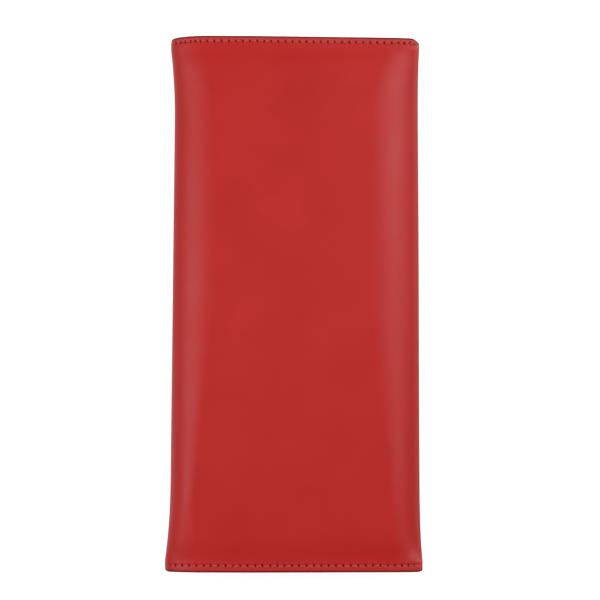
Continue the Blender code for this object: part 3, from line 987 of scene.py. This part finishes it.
def makePocket(name, front, layer, body, replaced):
    # A leather panel over the flap. Rows run from the sewn edge to the mouth, whose distance
    # from that edge rises in a line from its low side to its high one.
    thick, lowMouth, highMouth = pocketLayers[front][layer]
    share = np.concatenate([[0, 0.0006, 0.0016, 0.0035], np.linspace(0.008, 0.992, 110)])
    share = np.concatenate([share, [0.9965, 0.9984, 0.9994, 1]])
    acrossX = pocketLow[0] + (pocketHigh[0] - pocketLow[0]) * share
    rise = lowMouth + (highMouth - lowMouth) * share
    near = np.array([0, 0.05, 0.13, 0.25, 0.45, 0.7, 1.0, 1.35, 1.7, 2.1, 2.7, 3.5, 5]) * mm
    first = pocket["inset"]
    steps = np.linspace(0, 1, 40)[1:-1, None]
    low = first + near[:, None] + 0 * rise[None, :]
    high = rise[None, :] - near[::-1, None]
    between = low[-1:] + (high[:1] - low[-1:]) * steps
    distance = np.concatenate([low, between, high])
    margin = np.minimum(distance, 2 * leaf["halfLength"] - distance)
    lift = layer * (leaf["gap"] + thick) + leaf["gap"]
    fromMouth = rise[None, :] - distance
    fromSide = np.minimum(acrossX - pocketLow[0], pocketHigh[0] - acrossX)[None, :]
    creased = pocket["creaseDepth"] * bump(fromMouth - pocket["mouthBand"], pocket["creaseWide"])
    belly = pocket["belly"] * bump(fromMouth, pocket["bellyLong"])
    belly = belly * easeStep(fromSide / pocket["bellyEase"])
    toEdge = np.minimum(np.minimum(fromMouth, distance - first), fromSide)
    rounded = edgeRound(toEdge) * 0.5
    inner = flapBase(margin) + lift + belly
    x = acrossX[None, :] + 0 * distance
    y = distance - leaf["halfLength"]
    sheets = []
    for depth in (inner + thick - creased - rounded, inner + rounded):
        z = leaf["thickness"] - depth if front else depth
        sheets.append(np.stack([x, y, z], axis=-1))
    points, groups, finish = closedSheet(sheets[0], share, sheets[1], share)
    hide = np.concatenate([hidePlace(sheet).reshape(-1, 3) for sheet in sheets])
    paint = easeStep((pocket["paintWide"] - toEdge) / pocket["paintFade"]).ravel()
    blank = 0 * paint
    piece = addPiece(
        name,
        points,
        groups,
        [calfSkin, flesh, painted],
        finish,
        hide=hide,
        paint=np.concatenate([paint, blank]),
        pull=np.concatenate([blank, blank]),
        hole=np.concatenate([blank, blank]),
    )
    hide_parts(replaced)
    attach(piece, body)


print("holder: shaping the leather")
makeCover("frontLeather", True, ["front_cover_leather", "spine_leather"])
makeCover("backLeather", False, ["back_cover_leather"])

print("holder: laying the lining and the padding")
makeLining("frontLining", True, ["front_lining", "spine_lining"])
makeLining("backLining", False, ["back_lining"])
makePadding("frontPadding", True, "front_leaf", ["front_padding"])
makePadding("backPadding", False, "back_leaf", ["back_padding"])
for node in ("front_board", "back_board"):
    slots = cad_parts[node].material_slots
    for number in range(len(slots)):
        slots[number].material = board

print("holder: fitting the pockets")
pocketLayers = {True: [], False: []}  # per leaf, each layer's thickness and mouth
for number in (1, 2, 3):
    node = "card_pocket_" + str(number)
    low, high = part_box(node)
    reach = high[1] + leaf["halfLength"]
    pocketLayers[True].append((pocket["card"], reach, reach))
    makePocket("cardPocket" + str(number), True, number - 1, "front_leaf", node)
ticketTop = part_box("ticket_pocket")[1][1] + leaf["halfLength"]
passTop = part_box("boarding_pass_pocket")[1][1] + leaf["halfLength"]
pocketLayers[False].append((pocket["slip"], ticketTop, ticketTop))
pocketLayers[False].append((pocket["slip"], passTop - pocket["slant"], passTop))
makePocket("ticketPocket", False, 0, "back_leaf", "ticket_pocket")
makePocket("passPocket", False, 1, "back_leaf", "boarding_pass_pocket")

print("holder: sewing")
sideSeams = (pocketLow[0] + pocket["sideSeam"], pocketHigh[0] - pocket["sideSeam"])
for side, front in (("front", True), ("back", False)):
    paths = [faceStitches(end, front) for end in (topEnd, bottomEnd)]
    paths += [pageStitches(end, front) for end in (topEnd, bottomEnd)]
    paths += [sideStitches(front, x) for x in sideSeams]
    makeStitches(side + "SeamThread", joinPaths(paths))

print("holder: table, lamps and camera")
table = {"colour": "#979695", "roughness": 0.7, "glow": 0.92, "size": 40.0}
sky = 0.078  # strength of the white world
lamps = {
    # Each one's place, its length across and its height, in metres, and its power in watts
    "left": ((-0.66, 0.07, 0.68), (0.20, 0.6), 5.2),
    "right": ((0.58, 0.31, 0.76), (0.5, 0.24), 6.2),
    "edge": ((0.9, 0.0, 0.10), (1.0, 0.2), 0.5),
    "below": ((0.0, -1.05, 0.75), (1.0, 0.5), 2.0),
}
view = {
    "distance": 0.70,
    "tilt": 5.9,  # degrees from straight down, towards the bottom edge
    "roll": 0.2,
    "aim": (2.2 * mm, -0.3 * mm),
    "wide": 266.2 * mm,  # of the frame, at the front cover
    "sensor": 36.0,
}


def makeTable():
    # A sheet of matt acrylic. Seen directly or in a reflection it has a light of its own, so
    # that it reads white, and the holder's shadow stays on it.
    mesh = bpy.data.meshes.new("table")
    half = table["size"] / 2
    corners = [(-half, -half, 0), (half, -half, 0), (half, half, 0), (-half, half, 0)]
    mesh.from_pydata(corners, [], [(0, 1, 2, 3)])
    colour = fromHex(table["colour"])
    material, shader = newMaterial(
        "matWhiteAcrylic", Roughness=table["roughness"], Base_Color=colour, Emission_Color=(1, 1, 1, 1)
    )
    path = addNode(material, "ShaderNodeLightPath", {})
    seen = addNode(
        material,
        "ShaderNodeMath",
        {0: path.outputs["Is Camera Ray"], 1: path.outputs["Is Glossy Ray"]},
        operation="MAXIMUM",
    ).outputs[0]
    seen = addNode(
        material,
        "ShaderNodeMath",
        {0: seen, 1: path.outputs["Is Transmission Ray"]},
        operation="MAXIMUM",
    ).outputs[0]
    glow = addNode(
        material, "ShaderNodeMath", {0: seen}, {1: table["glow"]}, operation="MULTIPLY"
    ).outputs[0]
    wireUp(material, shader, Emission_Strength=glow)
    mesh.materials.append(material)
    piece = bpy.data.objects.new("table", mesh)
    bpy.context.scene.collection.objects.link(piece)


def makeLamps():
    for name, (place, size, power) in lamps.items():
        light = bpy.data.lights.new(name, "AREA")
        light.shape = "RECTANGLE"
        light.size, light.size_y = size
        light.energy = power
        lamp = bpy.data.objects.new(name, light)
        lamp.location = place
        lamp.rotation_euler = (Vector((0, 0, 0)) - lamp.location).to_track_quat("-Z", "Y").to_euler()
        bpy.context.scene.collection.objects.link(lamp)
    world = bpy.data.worlds.new("studio")
    world.use_nodes = True
    background = world.node_tree.nodes["Background"]
    background.inputs["Color"].default_value = (1, 1, 1, 1)
    background.inputs["Strength"].default_value = sky
    bpy.context.scene.world = world


def makeCamera():
    # Above the bottom edge, leaning back a little. Its axes are the picture's right and up,
    # and the way back from the target.
    tilt = math.radians(view["tilt"])
    roll = math.radians(view["roll"])
    target = Vector((view["aim"][0], view["aim"][1], leaf["thickness"]))
    back = Vector((0, -math.sin(tilt), math.cos(tilt)))
    right = Vector((math.cos(roll), math.sin(roll), 0))
    up = back.cross(right).normalized()
    right = up.cross(back)
    data = bpy.data.cameras.new("camera")
    data.sensor_width = view["sensor"]
    data.lens = view["sensor"] * view["distance"] / view["wide"]
    camera = bpy.data.objects.new("camera", data)
    camera.location = target + view["distance"] * back
    camera.rotation_euler = Matrix((right, up, back)).transposed().to_euler()
    bpy.context.scene.collection.objects.link(camera)
    bpy.context.scene.camera = camera


makeTable()
makeLamps()
makeCamera()
bpy.context.scene.view_settings.view_transform = "Standard"
